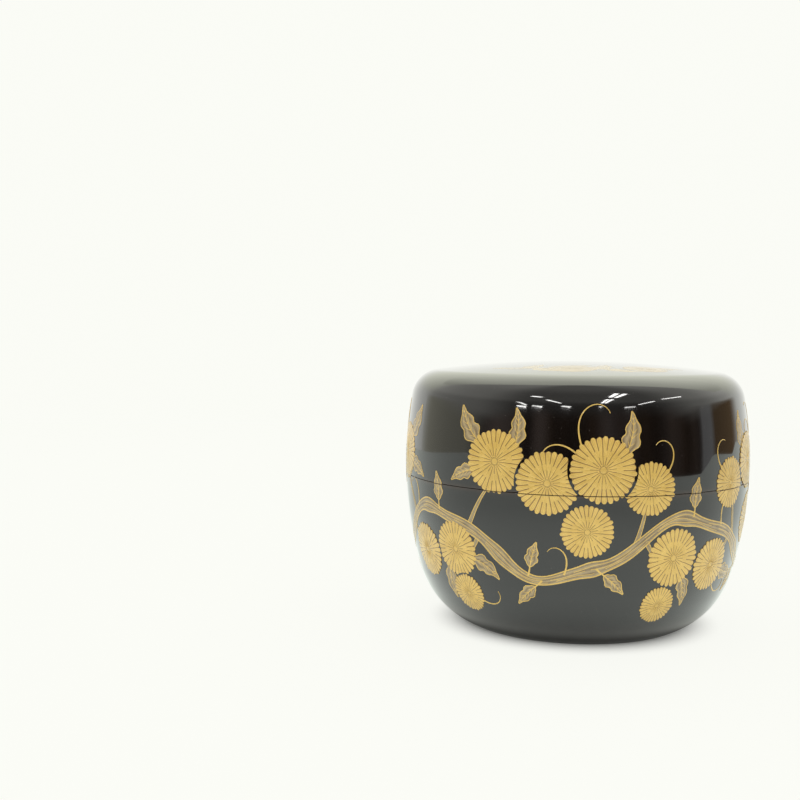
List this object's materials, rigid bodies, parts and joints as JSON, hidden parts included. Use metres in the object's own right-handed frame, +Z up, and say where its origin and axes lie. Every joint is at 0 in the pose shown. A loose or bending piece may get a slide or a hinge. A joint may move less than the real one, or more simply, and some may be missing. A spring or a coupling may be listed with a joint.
{
  "type": "flat tea caddy",
  "caption": "Low rounded wooden tea caddy in glossy black lacquer with a lift-off lid that fits over a thin standing rim.",
  "frame": {"origin": "middle of the foot on the surface the caddy stands on", "axes": "+Z up along the turning axis, through the middle of the lid; +X and +Y are any two directions across, because the solids are round"},
  "size_m": [0.082, 0.082, 0.0628],
  "materials": {
    "body_lacquer": "black lacquer over turned wood, high gloss",
    "lid_lacquer": "black lacquer over turned wood, high gloss",
    "gold_powder": "fine sprinkled gold under clear lacquer, satin"
  },
  "bodies": {
    "body": {"body": "body_lacquer"},
    "lid": {"lid": "lid_lacquer"}
  },
  "joints": [
    {"name": "lid_lift", "type": "slide", "parent": "body", "child": "lid", "axis": [0, 0, 1], "range_m": [0, 0.05]}
  ]
}
